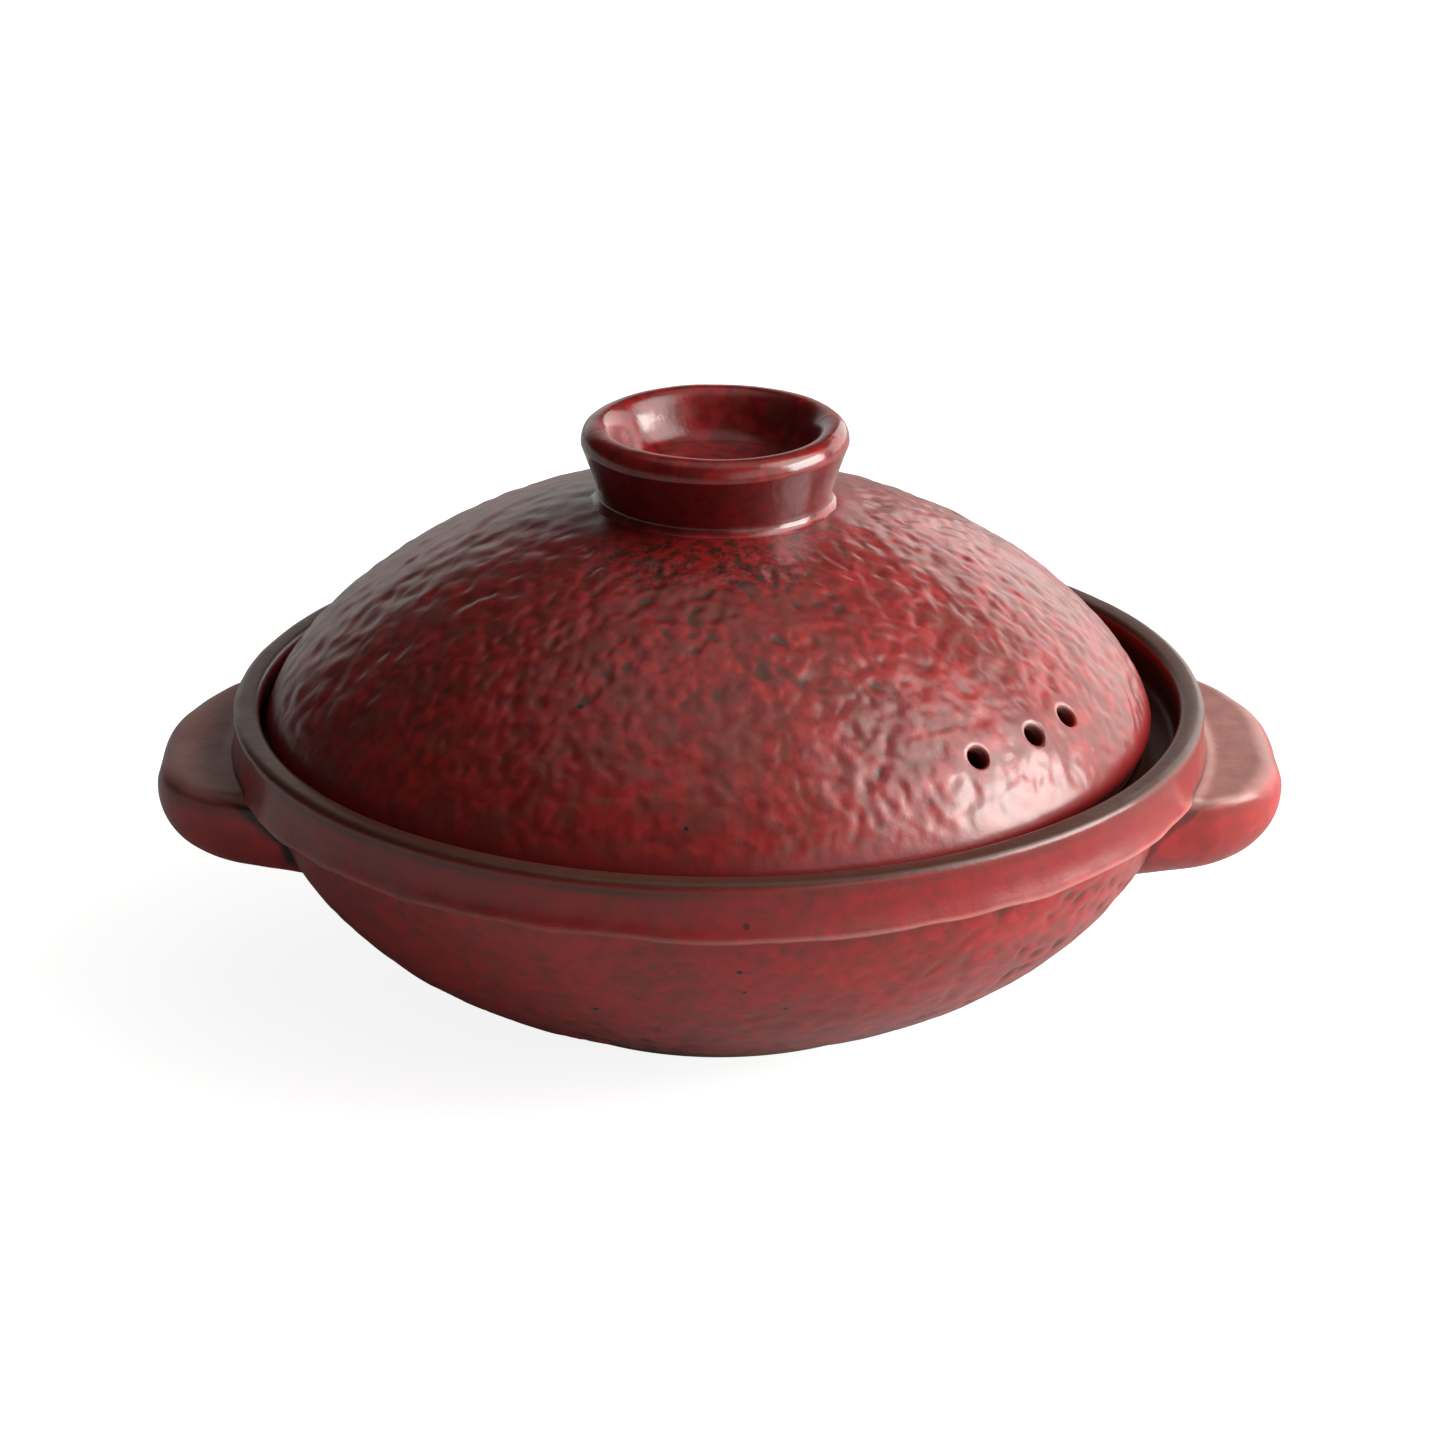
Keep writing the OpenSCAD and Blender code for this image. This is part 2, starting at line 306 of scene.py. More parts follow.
def curve(a, b, shares, count=CURVE_POINTS):
    """A cubic curve from a to b, with its pulls given as shares of the way across and up."""
    a, c, d, b, t = pulls(a, b, shares, count)
    return (1 - t) ** 3 * a + 3 * (1 - t) ** 2 * t * c + 3 * (1 - t) * t * t * d + t**3 * b


def slope(a, b, shares, count=CURVE_POINTS):
    """Unit directions of the same curve."""
    a, c, d, b, t = pulls(a, b, shares, count)
    way = (1 - t) ** 2 * (c - a) + 2 * (1 - t) * t * (d - c) + t * t * (b - d)
    return way / np.linalg.norm(way, axis=1)[:, None]


def arc(centre, radius, start, end, count=ARC_POINTS):
    """Points of an arc round a centre, from one angle to another in degrees."""
    a = np.radians(np.linspace(start, end, count))
    return np.array(centre) + radius * np.stack([np.cos(a), np.sin(a)], 1)


def lengths(points):
    """How far along a line each of its points lies."""
    gaps = np.linalg.norm(np.diff(points, axis=0), axis=1)
    return np.concatenate([[0], np.cumsum(gaps)])


def resampled(points, at):
    """Points of a line at the given lengths along it."""
    along = lengths(points)
    return np.stack([np.interp(at, along, points[:, k]) for k in (0, 1)], 1)


def spaced(points, step):
    """The same line with its points about one step apart."""
    points = np.asarray(points, float)
    end = lengths(points)[-1]
    count = max(2, int(round(end / step)) + 1)
    return resampled(points, np.linspace(0, end, count))


def joined(*lines):
    """Lines set end to end, with points that repeat left out."""
    points = np.concatenate(lines)
    steps = zip(points[:-1], points[1:])
    return points[[True] + [np.linalg.norm(b - a) > SAME_POINT for a, b in steps]]


# Noise and soft steps

GRADIENTS = np.random.default_rng(11).normal(size=(512, 3))
GRADIENTS /= np.linalg.norm(GRADIENTS, axis=1)[:, None]
HASH = (73856093, 19349663, 83492791)
SEED_HASH = 2654435761
SECOND_HASH = 1274126177
NOISE_SHIFT = 37.3
NOISE_GAIN = 1.8


def noise(points, size, seed):
    """Smooth gradient noise, about -1 to 1, whose features are size across."""
    p = np.asarray(points, float) / size + NOISE_SHIFT * (seed + 1)
    cell = np.floor(p).astype(np.int64)
    f = p - cell
    fade = f * f * f * (f * (f * 6 - 15) + 10)
    total = np.zeros(len(p))
    for corner in np.ndindex(2, 2, 2):
        c = np.array(corner)
        x, y, z = (cell + c).T
        mixed = x * HASH[0] ^ y * HASH[1] ^ z * HASH[2] ^ seed * SEED_HASH
        mixed = (mixed ^ (mixed >> 13)) * SECOND_HASH
        g = GRADIENTS[(mixed ^ (mixed >> 16)) & 511]
        weight = np.prod(np.where(c, fade, 1 - fade), axis=1)
        total += weight * np.einsum("ij,ij->i", g, f - c)
    return total * NOISE_GAIN


def ripple(points, layers):
    """Layers of noise added up, each with its height, size and seed."""
    return sum(height * noise(points, size, seed) for height, size, seed in layers)


def smooth_step(x, low, high):
    """0 at low, 1 at high and a smooth change between; high may be the lower of the two."""
    t = np.clip((x - low) / (high - low), 0, 1)
    return t * t * (3 - 2 * t)


def bell(x, middle, reach, power=2):
    """1 in the middle and a soft fall on both sides; a higher power is flatter on top."""
    return np.exp(-(((x - middle) / reach) ** power))


def patch(points, middle, reach):
    """A bell round a place seen from above, with its own reach along x and y."""
    x, y = ((points[:, k] - middle[k]) / reach[k] for k in (0, 1))
    return np.exp(-(x**2) - y**2)


# Meshes


def columns_beyond(profile, steps):
    """Columns for each row: those of the first step whose radius the row passes."""
    return [next(count for radius, count in steps if r > radius) for r, _ in profile]


class Revolved:
    """Points of a turned shape: rows along a profile, columns round the axis."""

    def __init__(self, profile, columns):
        self.profile = profile
        way = np.gradient(profile, axis=0)
        way /= np.maximum(np.linalg.norm(way, axis=1), 1e-9)[:, None]
        out = np.stack([way[:, 1], -way[:, 0]], 1)
        self.columns = [1 if r < 1e-6 else n for (r, _), n in zip(profile, columns)]
        self.start = np.concatenate([[0], np.cumsum(self.columns)])
        self.row = np.repeat(np.arange(len(profile)), self.columns)
        self.angle = np.concatenate([np.arange(n) * 2 * math.pi / n for n in self.columns])
        self.radius = profile[self.row, 0]
        self.height = profile[self.row, 1]
        self.along = lengths(profile)
        c, s = np.cos(self.angle), np.sin(self.angle)
        self.points = np.stack([self.radius * c, self.radius * s, self.height], 1)
        r, z = out[self.row].T
        self.normals = np.stack([r * c, r * s, z], 1)


def fan_faces(a, n, b, m):
    """Triangles between rings of n and m points, where one is a multiple of the other."""
    found = []
    fine, coarse, flip = (n, m, False) if n > m else (m, n, True)
    first, second = (a, b) if n > m else (b, a)
    ratio = fine // coarse
    half = ratio // 2
    for j in range(coarse):
        c0, c1 = second + j, second + (j + 1) % coarse
        for k in range(ratio):
            f0 = first + j * ratio + k
            f1 = first + (j * ratio + k + 1) % fine
            found.append([f0, f1, c0 if k < half else c1])
        found.append([first + j * ratio + half, c1, c0])
    return [f[::-1] for f in found] if flip else found


def ring_faces(columns):
    """Faces between neighbouring rings of points, where a ring of one point is a pole."""
    found = []
    a = 0
    for n, m in zip(columns[:-1], columns[1:]):
        b = a + n
        j = np.arange(max(n, m))
        k = (j + 1) % len(j)
        if n == m:
            found += np.stack([a + j, a + k, b + k, b + j], 1).tolist()
        elif n == 1:
            found += np.stack([0 * j + a, b + k, b + j], 1).tolist()
        elif m == 1:
            found += np.stack([a + j, a + k, 0 * j + b], 1).tolist()
        else:
            found += fan_faces(a, n, b, m)
        a = b
    return found


def make_mesh(name, points, faces, marks):
    """A smooth mesh object in metres from points in millimetres, with marks on its points."""
    mesh = bpy.data.meshes.new(name)
    mesh.from_pydata((points * MM).tolist(), [], faces)
    for mark, values in marks.items():
        attribute = mesh.attributes.new(mark, "FLOAT", "POINT")
        attribute.data.foreach_set("value", np.asarray(values, np.float32))
    mesh.polygons.foreach_set("use_smooth", np.full(len(mesh.polygons), True))
    mesh.update()
    piece = bpy.data.objects.new(name, mesh)
    bpy.context.scene.collection.objects.link(piece)
    return piece


def add_map(piece, shape, low, height, width=1.0):
    """A map for baking: the turn across and the way along the profile up, unwound at the seam."""
    mesh = piece.data
    u = shape.angle / (2 * math.pi)
    v = shape.along[shape.row] / shape.along[-1] * height + low
    corners = np.empty(len(mesh.loops), np.int32)
    mesh.loops.foreach_get("vertex_index", corners)
    starts = np.empty(len(mesh.polygons), np.int32)
    totals = np.empty(len(mesh.polygons), np.int32)
    mesh.polygons.foreach_get("loop_start", starts)
    mesh.polygons.foreach_get("loop_total", totals)
    face = np.repeat(np.arange(len(starts)), totals)
    across = u[corners]
    top = np.maximum.reduceat(across, starts)
    across = np.where(top[face] - across > 0.5, across + 1, across)
    layer = mesh.uv_layers.new(name="OFBake")
    spots = np.stack([across * MAP_W * width + MAP_LEFT, v[corners]], 1)
    layer.data.foreach_set("uv", spots.ravel())


def point_tree(points):
    """A tree that finds the points near a place."""
    tree = KDTree(len(points))
    for i, point in enumerate(points):
        tree.insert(point, i)
    tree.balance()
    return tree


# Hollows in the clay


def hollow_spots(shape, spacing, rng, where):
    """Places for hollows, spread over a turned shape's rows with jitter, as point indices."""
    spots = []
    last = len(shape.profile) - 1
    at = spacing / 2
    while at < shape.along[-1]:
        row = int(np.searchsorted(shape.along, at))
        radius = shape.profile[min(row, last), 0]
        count = max(3, int(2 * math.pi * radius / spacing))
        for k in range(count):
            s = at + rng.uniform(-0.5, 0.5) * spacing
            turn = (k + rng.uniform(-0.5, 0.5)) / count % 1
            i = int(np.clip(np.searchsorted(shape.along, s), 1, last - 1))
            columns = shape.columns[i]
            if columns > 1:
                spots.append(shape.start[i] + int(turn * columns) % columns)
        at += spacing
    spots = np.array(spots)
    return spots[where[spots]]


def hollows(shape, where, spacing, seed, longs, shorts, depth):
    """Depth of scattered, drawn-out hollows at each point."""
    rng = np.random.default_rng(seed)
    spots = hollow_spots(shape, spacing, rng, where)
    tree = point_tree(shape.points)
    deep = np.zeros(len(shape.points))
    for spot in spots:
        centre, normal = shape.points[spot], shape.normals[spot]
        long = rng.uniform(*longs)
        short = rng.uniform(*shorts)
        amount = depth * rng.beta(*HOLLOW_SPREAD) * HOLLOW_GAIN
        side = np.cross(normal, rng.normal(size=3))
        side /= np.linalg.norm(side)
        other = np.cross(normal, side)
        found = tree.find_range(Vector(centre), HOLLOW_REACH * long)
        index = np.array([f[1] for f in found])
        away = shape.points[index] - centre
        a, b = away @ side, away @ other
        bend = HOLLOW_BEND * a * a / long * rng.uniform(-1, 1)
        same = (shape.normals[index] @ normal) > SAME_SIDE
        here = amount * np.exp(-((a / long) ** 2) - ((b - bend) / short) ** 2)
        deep[index] = np.maximum(deep[index], np.where(same, here, 0))
    return deep


# Profiles


def bowl_outside():
    """The bowl's outer line in four lengths: belly with its step, ridge, collar and lip."""
    top = (RIDGE_R - BELLY_STEP, RIDGE_Z - STEP_H)
    belly = curve((FOOT_R, FOOT_H), top, [(1 - x, 1 - y) for x, y in BELLY_SHARES[::-1]])
    ridge = arc((RIDGE_R - RIDGE_ROUND, RIDGE_Z), RIDGE_ROUND, *RIDGE_ARC)
    flare_top = (RIM_R, RIDGE_Z + RIDGE_FLARE_H)
    flare = curve(ridge[-1], flare_top, RIDGE_FLARE_SHARES, FLARE_POINTS)
    collar = joined(spaced(flare, BOWL_ROWS["flare"]), [(RIM_R, BOWL_H - LIP_ROUND)])
    lip = arc((RIM_R - LIP_ROUND, BOWL_H - LIP_ROUND), LIP_ROUND, 0, 90)
    lines = {"belly": belly, "ridge": ridge, "collar": collar, "lip": lip}
    return [spaced(line, BOWL_ROWS[name]) for name, line in lines.items()]


def bowl_profile():
    """The bowl's profile from the middle of its base, round the outside and lip, to its floor."""
    rows = BOWL_ROWS
    foot_in = FOOT_R - FOOT_W
    base = spaced([(0, FOOT_H), (foot_in - FOOT_GAP, FOOT_H)], rows["base"])
    foot = joined(
        arc((foot_in + FOOT_ROUND, FOOT_ROUND), FOOT_ROUND, 180, 270, FOOT_POINTS),
        arc((FOOT_R - FOOT_ROUND, FOOT_ROUND), FOOT_ROUND, -90, 0, FOOT_POINTS),
    )
    lip_in = arc((GALLERY_R + LIP_IN_ROUND, BOWL_H - LIP_IN_ROUND), LIP_IN_ROUND, 90, 180)
    fillet_middle = (GALLERY_R - GALLERY_FILLET, LEDGE_Z + GALLERY_FILLET)
    fillet = arc(fillet_middle, GALLERY_FILLET, 0, -90)
    nose = arc((LEDGE_R + NOSE_ROUND, LEDGE_Z - NOSE_ROUND), NOSE_ROUND, 90, 180)
    inside = curve((LEDGE_R, LEDGE_Z - NOSE_ROUND), (INSIDE_FLOOR_R, FLOOR_Z), INSIDE_SHARES)
    outer = joined(*bowl_outside(), spaced(lip_in, rows["lip"]))
    inner = joined(
        spaced([(GALLERY_R, BOWL_H - LIP_IN_ROUND - LIP_GAP), fillet[0]], rows["gallery"]),
        spaced(fillet, rows["ledge"]),
        spaced(nose, rows["ledge"]),
        spaced(inside, rows["inside"]),
        spaced([(INSIDE_FLOOR_R - FLOOR_GAP, FLOOR_Z), (0, FLOOR_Z)], rows["floor"]),
    )
    columns = [BOWL_HIDDEN_COLUMNS] * (len(base) + len(foot))
    columns += [BOWL_COLUMNS] * len(outer) + [BOWL_HIDDEN_COLUMNS] * len(inner)
    return np.concatenate([base, foot, outer, inner]), columns


def bowl_outer_r(z):
    """The radius of the bowl's outside at a height."""
    line = joined(*bowl_outside())
    return np.interp(z, line[:, 1], line[:, 0])


def dome_lines():
    """The dome's outside and cap, and the same two lines on the inside of its even wall."""
    outside = curve(DOME_EDGE, DOME_SHOULDER, DOME_SHARES)
    cap = curve(DOME_SHOULDER, (0, CROWN_Z), CAP_SHARES, CAP_POINTS)
    x, z = slope(DOME_EDGE, DOME_SHOULDER, DOME_SHARES).T
    inside = outside + DOME_WALL * np.stack([-z, x], 1)
    cap_in = curve(inside[-1], (0, CROWN_Z - DOME_WALL), CAP_SHARES, CAP_POINTS)
    return outside, cap, inside, cap_in


def dome_profile():
    """The lid's profile from its inner crown, down inside, round its edge and up the outside."""
    rows = DOME_ROWS
    outside, cap, inside, cap_in = dome_lines()
    seat_in = SEAT_R - SEAT_W
    seat = arc((SEAT_R - SEAT_ROUND, SEAT_Z + SEAT_ROUND), SEAT_ROUND, -90, 0)
    edge = curve((SEAT_R, SEAT_Z + SEAT_ROUND), DOME_EDGE, EDGE_SHARES, CAP_POINTS)
    inner = joined(
        spaced(cap_in[::-1], rows["inside"]),
        spaced(inside[::-1], rows["inside"]),
        spaced([(seat_in, SEAT_Z + SEAT_H), (seat_in, SEAT_Z)], rows["seat_in"]),
    )
    outer = joined(
        spaced(seat, rows["seat"]),
        spaced(edge, rows["edge"]),
        spaced(outside, rows["outside"]),
        spaced(cap, rows["cap"]),
    )
    columns = [DOME_HIDDEN_COLUMNS] * len(inner) + columns_beyond(outer, DOME_COLUMNS)
    return np.concatenate([inner, outer]), columns


def dome_z(r):
    """Height of the smooth dome at a distance from its axis."""
    line = np.concatenate(dome_lines()[:2])[::-1]
    return np.interp(r, line[:, 0], line[:, 1])


def knob_profile():
    """The knob's profile from under its middle, over the flare, wall and lip, to the cup."""
    base = [(0, CROWN_Z - BASE_MIDDLE_SUNK), (FLARE_R - BASE_IN, dome_z(FLARE_R) - BASE_SUNK)]
    flare_edge = (FLARE_R, dome_z(FLARE_R) - FLARE_SUNK)
    neck = (NECK_R, dome_z(NECK_R) + NECK_LIFT)
    corner_middle = (KNOB_R - KNOB_CORNER_ROUND, KNOB_CORNER_Z)
    corner = arc(corner_middle, KNOB_CORNER_ROUND, *KNOB_CORNER_ARC)
    lip_top = (KNOB_R - KNOB_LIP_W / 2, KNOB_TOP_Z)
    cup = curve(lip_top, (CUP_FLOOR_R, CUP_Z), CUP_SHARES, CUP_POINTS)
    lines = {
        "base": base,
        "flare": curve(flare_edge, neck, FLARE_SHARES, KNOB_POINTS),
        "wall": [neck, corner[0]],
        "corner": corner,
        "lip": curve((KNOB_R, KNOB_CORNER_Z), lip_top, LIP_SHARES, KNOB_POINTS),
        "cup": cup,
        "floor": [cup[-1], (0, CUP_Z - CUP_FLOOR_FALL)],
    }
    profile = joined(*(spaced(line, KNOB_ROWS[name]) for name, line in lines.items()))
    return profile, columns_beyond(profile, KNOB_COLUMNS)


# Pieces


def tab_crease_shade(points, moved, outside, tab_points):
    """Painted shade, with dark pooled glaze, on the bowl's outside in the crease where a handle
    meets it in front.
    """
    crease_shade = np.zeros(len(points))
    tree = point_tree(tab_points)
    x, y, z = points.T
    near = np.flatnonzero(outside & (np.abs(x) > TAB_ROOT_X) & (y < CREASE_FRONT_Y))
    gap = np.array([tree.find(Vector(moved[i]))[2] for i in near])
    crease_shade[near] = bell(gap, 0, BOWL_CREASE_W, 4)
    return crease_shade * smooth_step(z, *BOWL_CREASE_Z)


def bowl_marks(shape, outside, deep):
    """Where the bowl's glaze is thin, pooled, pale or missing, and where shade and a highlight are
    painted on, from its smooth form.
    """
    p, z, r = shape.points, shape.height, shape.radius
    x = p[:, 0]
    flat = p * [1, 1, 0]
    lip = smooth_step(z, *LIP_THIN_Z)
    low_edge = outside * smooth_step(r, *FOOT_THIN_R)
    # Painted shade: the gallery, the well between the lid and the lip, is painted dark and made
    # less glossy
    gallery_shade_region = ~outside * (r > LEDGE_R - 2) * (z > LEDGE_Z - 3)
    # Painted shade: a dark olive band just under the overhanging lip, weaker on the lit right
    shade_under_lip = outside * bell(z - BOWL_H, -3.4, 1.3) * (0.8 + 0.6 * noise(flat, 25, 12))
    shade_under_lip *= 1 - 0.55 * smooth_step(x, -30, 70)
    # Pale thin glaze on the ridge's edge and a painted highlight along it, strongest on the lit
    # right
    ridge = outside * bell(z - RIDGE_Z, 0.1, 0.5)
    collar = outside * smooth_step(z, *COLLAR_Z)
    return {
        "hollow": np.clip(deep / 0.8, 0, 1),
        "thin": np.maximum(lip, 0.85 * low_edge),
        "shade_under_lip": np.clip(shade_under_lip, 0, 1),
        "gallery": gallery_shade_region * smooth_step(z, *GALLERY_SHADE_Z),
        # Painted shade: the collar is darkened to a deeper red, most on its brightly lit right side
        "collar": collar * (0.67 + 0.33 * smooth_step(x, 30, 110)),
        "ridge": ridge * (0.35 + 0.65 * smooth_step(x, -60, 50)),
        "bare": (z < FOOT_H + 0.6) & (r < FOOT_R + 1.5),
    }


def build_bowl(tab_points):
    """The bowl, softly waved all over and hammered low down and on the right."""
    shape = Revolved(*bowl_profile())
    p, n, z, r = shape.points, shape.normals, shape.height, shape.radius
    flat = p * [1, 1, 0]
    outside = (n[:, 0] * p[:, 0] + n[:, 1] * p[:, 1] > 0) & (r > FOOT_R + 2)
    low = smooth_step(RIDGE_Z - z, *BOWL_DENT_BELOW)
    right = smooth_step(p[:, 0], *BOWL_DENT_RIGHT)
    dented = BOWL_DENT_MORE * np.maximum(low, right) * (z < RIDGE_Z - 3)
    strength = outside * (BOWL_DENT_LEAST + dented)
    strength *= 0.75 + 0.5 * noise(p, 40, 3)
    deep = hollows(shape, outside & (z < BOWL_H - 6), **BOWL_HOLLOWS) * strength
    deep *= 1 - smooth_step(z, *LIP_CALM_Z)
    waves = np.where(outside, ripple(p, BOWL_WAVES), ripple(p, BOWL_INSIDE_WAVES))
    lip = smooth_step(z, *LIP_WORN_Z)
    waves = (waves - BOWL_WAVES_IN) * (1 - 0.4 * lip) * smooth_step(z, *FOOT_CALM_Z)
    moved = p + n * (waves - deep)[:, None]
    # The ridge wanders up and down, and the lip is not quite level
    ridge = bell(z, RIDGE_Z, 4) * outside
    moved[:, 2] += ridge * (ripple(flat, RIDGE_WANDER) - RIDGE_WANDER_DOWN)
    moved[:, 2] += -0.25 * lip * (1 + noise(flat, 45, 10)) / 2
    marks = bowl_marks(shape, outside, deep)
    marks["crease_shade"] = tab_crease_shade(p, moved, outside, tab_points)
    piece = make_mesh("bowl", moved, ring_faces(shape.columns), marks)
    add_map(piece, shape, 0.01, 0.98)
    return piece


def vent_frame(angle):
    """A vent's middle on the dome and its outward direction."""
    at = int(round(VENT_SHARE * (VENT_POINTS - 1)))
    r, z = curve(DOME_EDGE, DOME_SHOULDER, DOME_SHARES, VENT_POINTS)[at]
    way = slope(DOME_EDGE, DOME_SHOULDER, DOME_SHARES, VENT_POINTS)[at]
    a = math.radians(angle)
    centre = np.array((r * math.cos(a) + LID_X, r * math.sin(a), z))
    out = np.array((way[1] * math.cos(a), way[1] * math.sin(a), -way[0]))
    return centre, out


def vent_cutter(index, angle):
    """A turned cutter whose mouth opens out, so that the vent's edge is rounded."""
    centre, out = vent_frame(angle)
    under = -DOME_WALL - VENT_UNDER
    mouth_middle = (VENT_R + VENT_MOUTH, -VENT_DROP - VENT_MOUTH)
    mouth = arc(mouth_middle, VENT_MOUTH, *VENT_MOUTH_ARC)
    profile = joined(
        [(0, under), (VENT_R, under)],
        mouth,
        [(mouth[-1][0] + VENT_SPREAD, VENT_OVER), (0, VENT_OVER)],
    )
    shape = Revolved(profile, [VENT_COLUMNS] * len(profile))
    side = np.cross(out, (0, 0, 1.0))
    side /= np.linalg.norm(side)
    turn = np.stack([side, np.cross(out, side), out], 0)
    points = shape.points @ turn + centre
    cutter = make_mesh(f"vent_cutter_{index}", points, ring_faces(shape.columns), {})
    add_map(cutter, shape, 0.985, 0.01, 0.3)
    return cutter


def cut(piece, cutters):
    """Cuts solid cutters out of a piece and removes them."""
    for cutter in cutters:
        step = piece.modifiers.new("cut", "BOOLEAN")
        step.operation = "DIFFERENCE"
        step.object = cutter
        step.solver = "EXACT"
    graph = bpy.context.evaluated_depsgraph_get()
    made = bpy.data.meshes.new_from_object(piece.evaluated_get(graph))
    piece.modifiers.clear()
    old = piece.data
    piece.data = made
    bpy.data.meshes.remove(old)
    for cutter in cutters:
        bpy.data.objects.remove(cutter)


def build_dome():
    """The lid's dome, dented all over but for its edge and crown, and pierced by the vents."""
    shape = Revolved(*dome_profile())
    p, n, z, r = shape.points, shape.normals, shape.height, shape.radius
    outside = (n[:, 2] > 0.05) & (z > LID_Z - 1)
    from_edge = shape.along[shape.row] - shape.along[shape.row[np.argmax(r)]]
    strength = smooth_step(from_edge, *EDGE_CALM) * smooth_step(r, *CROWN_CALM_R)
    strength = strength * (1 - 0.5 * patch(p, *CALM_FRONT)) * (0.95 + 0.2 * noise(p, 45, 13))
    for angle in VENT_ANGLES:
        centre, _ = vent_frame(angle)
        from_vent = np.linalg.norm(p + [LID_X, 0, 0] - centre, axis=1)
        strength *= smooth_step(from_vent, *VENT_CALM)
    # The dents are sharpest in front and to the right, and soft ripples behind and on the left
    sharp = smooth_step(0.6 * p[:, 0] - p[:, 1], *DIMPLE_SHARP)
    warp = np.stack([noise(p, DIMPLE_WARP_SIZE, seed) for seed in DIMPLE_WARP_SEEDS], 1)
    warped = p + DIMPLE_WARP * warp
    dimple = blend(noise(warped, 6, 66), noise(warped, 3.7, 64), sharp) + 0.35 * noise(p, 9, 65)
    pits = hollows(shape, outside, **DOME_PITS)
    broad = hollows(shape, outside, **DOME_BROAD)
    band = patch(p, *DARK_BAND)
    fine = (0.32 + 0.14 * band) * smooth_step(dimple, -0.35, 0.75) + 0.6 * pits
    fine *= 0.60 + 0.40 * sharp
    # Round the vents the dents are wide and soft, and the fine dimples weaker
    soft = patch(p, *SOFT_ROUND_VENTS)
    deep = fine * (1 - 0.25 * soft) + 0.55 * (1 + 0.9 * soft) * broad
    deep *= np.clip(strength, 0, 1.2)
    waves = ripple(p, DOME_WAVES) + (0.16 + 0.18 * (1 - sharp)) * ripple(p, DOME_FINE_WAVES)
    waves = np.where(outside, waves, ripple(p, DOME_INSIDE_WAVES))
    waves *= smooth_step(from_edge, 2, 14) * 0.9 + 0.1
    moved = p + n * (np.where(outside, waves - DOME_WAVES_IN, waves * 0.5) - deep)[:, None]
    moved[:, 0] += LID_X
    hollow = smooth_step(dimple, 0.05, 0.70) + 0.6 * np.clip(pits / 0.5, 0, 1)
    front = bell(p[:, 0], 0, 34, 4) * (p[:, 1] < 0)
    ragged = smooth_step(-r - 4 * noise(p, 8, 18), -63, -53)
    marks = {
        "hollow": hollow * (strength * sharp * (0.35 + 0.65 * band)),
        "edge": bell(from_edge, 0, 6) * (z > SEAT_Z + 2),
        "collar": outside * ragged * (0.25 + 0.75 * front),
    }
    piece = make_mesh("dome", moved, ring_faces(shape.columns), marks)
    add_map(piece, shape, 0.01, 0.96)
    cut(piece, [vent_cutter(i, a) for i, a in enumerate(VENT_ANGLES)])
    return piece


def build_knob():
    """The cupped knob, whose flare follows the dome under it."""
    shape = Revolved(*knob_profile())
    p, n, z = shape.points, shape.normals, shape.height
    waves = ripple(p, KNOB_WAVES) - KNOB_WAVES_IN
    waves *= smooth_step(z, *KNOB_WAVES_Z)
    moved = p + n * waves[:, None]
    # The dome's axis is a little to the side of the knob's
    from_axis = np.hypot(p[:, 0] + KNOB_X - LID_X, p[:, 1])
    low = 1 - smooth_step(z, dome_z(NECK_R), dome_z(NECK_R) + 8)
    moved[:, 2] += low * (dome_z(from_axis) - dome_z(shape.radius))
    # The lip is a little uneven round the cup
    lip = smooth_step(z, *KNOB_LIP_Z)
    moved[:, 2] += 0.14 * lip * (noise(p * [1, 1, 0], 30, 43) - 0.6)
    moved[:, 0] += KNOB_X
    # Painted shade: the wall under the lip, facing down and away from the lamps, is marked to be
    # painted dark
    wall = (z > CROWN_Z - 2) & (z < KNOB_CORNER_Z) & (shape.radius > NECK_R - 1)
    piece = make_mesh("knob", moved, ring_faces(shape.columns), {"wall": wall})
    add_map(piece, shape, 0.01, 0.98)
    return piece


def tab_outline(side):
    """A handle's widest outline: a band stretched round five discs."""

    def corner(radius, way):
        y = TAB_W[side] / 2 - radius
        fall = TAB_REACH - math.sqrt(TAB_REACH**2 - y * y)
        return (TAB_REACH - fall - radius, way * y, radius)

    discs = [(TAB_REACH - TIP_R, 0, TIP_R), corner(FRONT_CORNER_R, -1), corner(BACK_CORNER_R, 1)]
    root_y = TAB_ROOT_W / 2 - TAB_ROOT_R
    discs += [(TAB_ROOT_X, way * root_y, TAB_ROOT_R) for way in (-1, 1)]
    discs = np.array(discs, float)
    a = np.linspace(0, 2 * math.pi, TAB_DIRECTIONS, endpoint=False)
    way = np.stack([np.cos(a), np.sin(a)], 1)
    best = np.argmax(way @ discs[:, :2].T + discs[:, 2], axis=1)
    line = discs[best, :2] + discs[best, 2][:, None] * way
    closed = np.vstack([line, line[:1]])
    end = lengths(closed)[-1]
    return resampled(closed, np.linspace(0, end, TAB_COLUMNS, endpoint=False))


def tab_section(thick, top_round):
    """A handle's edge from under its middle to its top, for each point of the outline.

    It gives how far in from the outline each row lies, and how high.
    """
    low = arc((0, 0), 1, -90, 0, TAB_LOW_ROWS)
    top = arc((0, 0), 1, 0, 90, TAB_TOP_ROWS)
    low_in = np.full_like(top_round, TAB_LOW_IN)
    up = (thick - top_round) * TAB_LOW_UP_SHARE
    inset = [np.outer(1 - low[:, 0], low_in), np.outer(1 - top[:, 0], top_round)]
    height = [np.outer(1 + low[:, 1], up), thick - np.outer(1 - top[:, 1], top_round)]
    return np.concatenate(inset), np.concatenate(height)


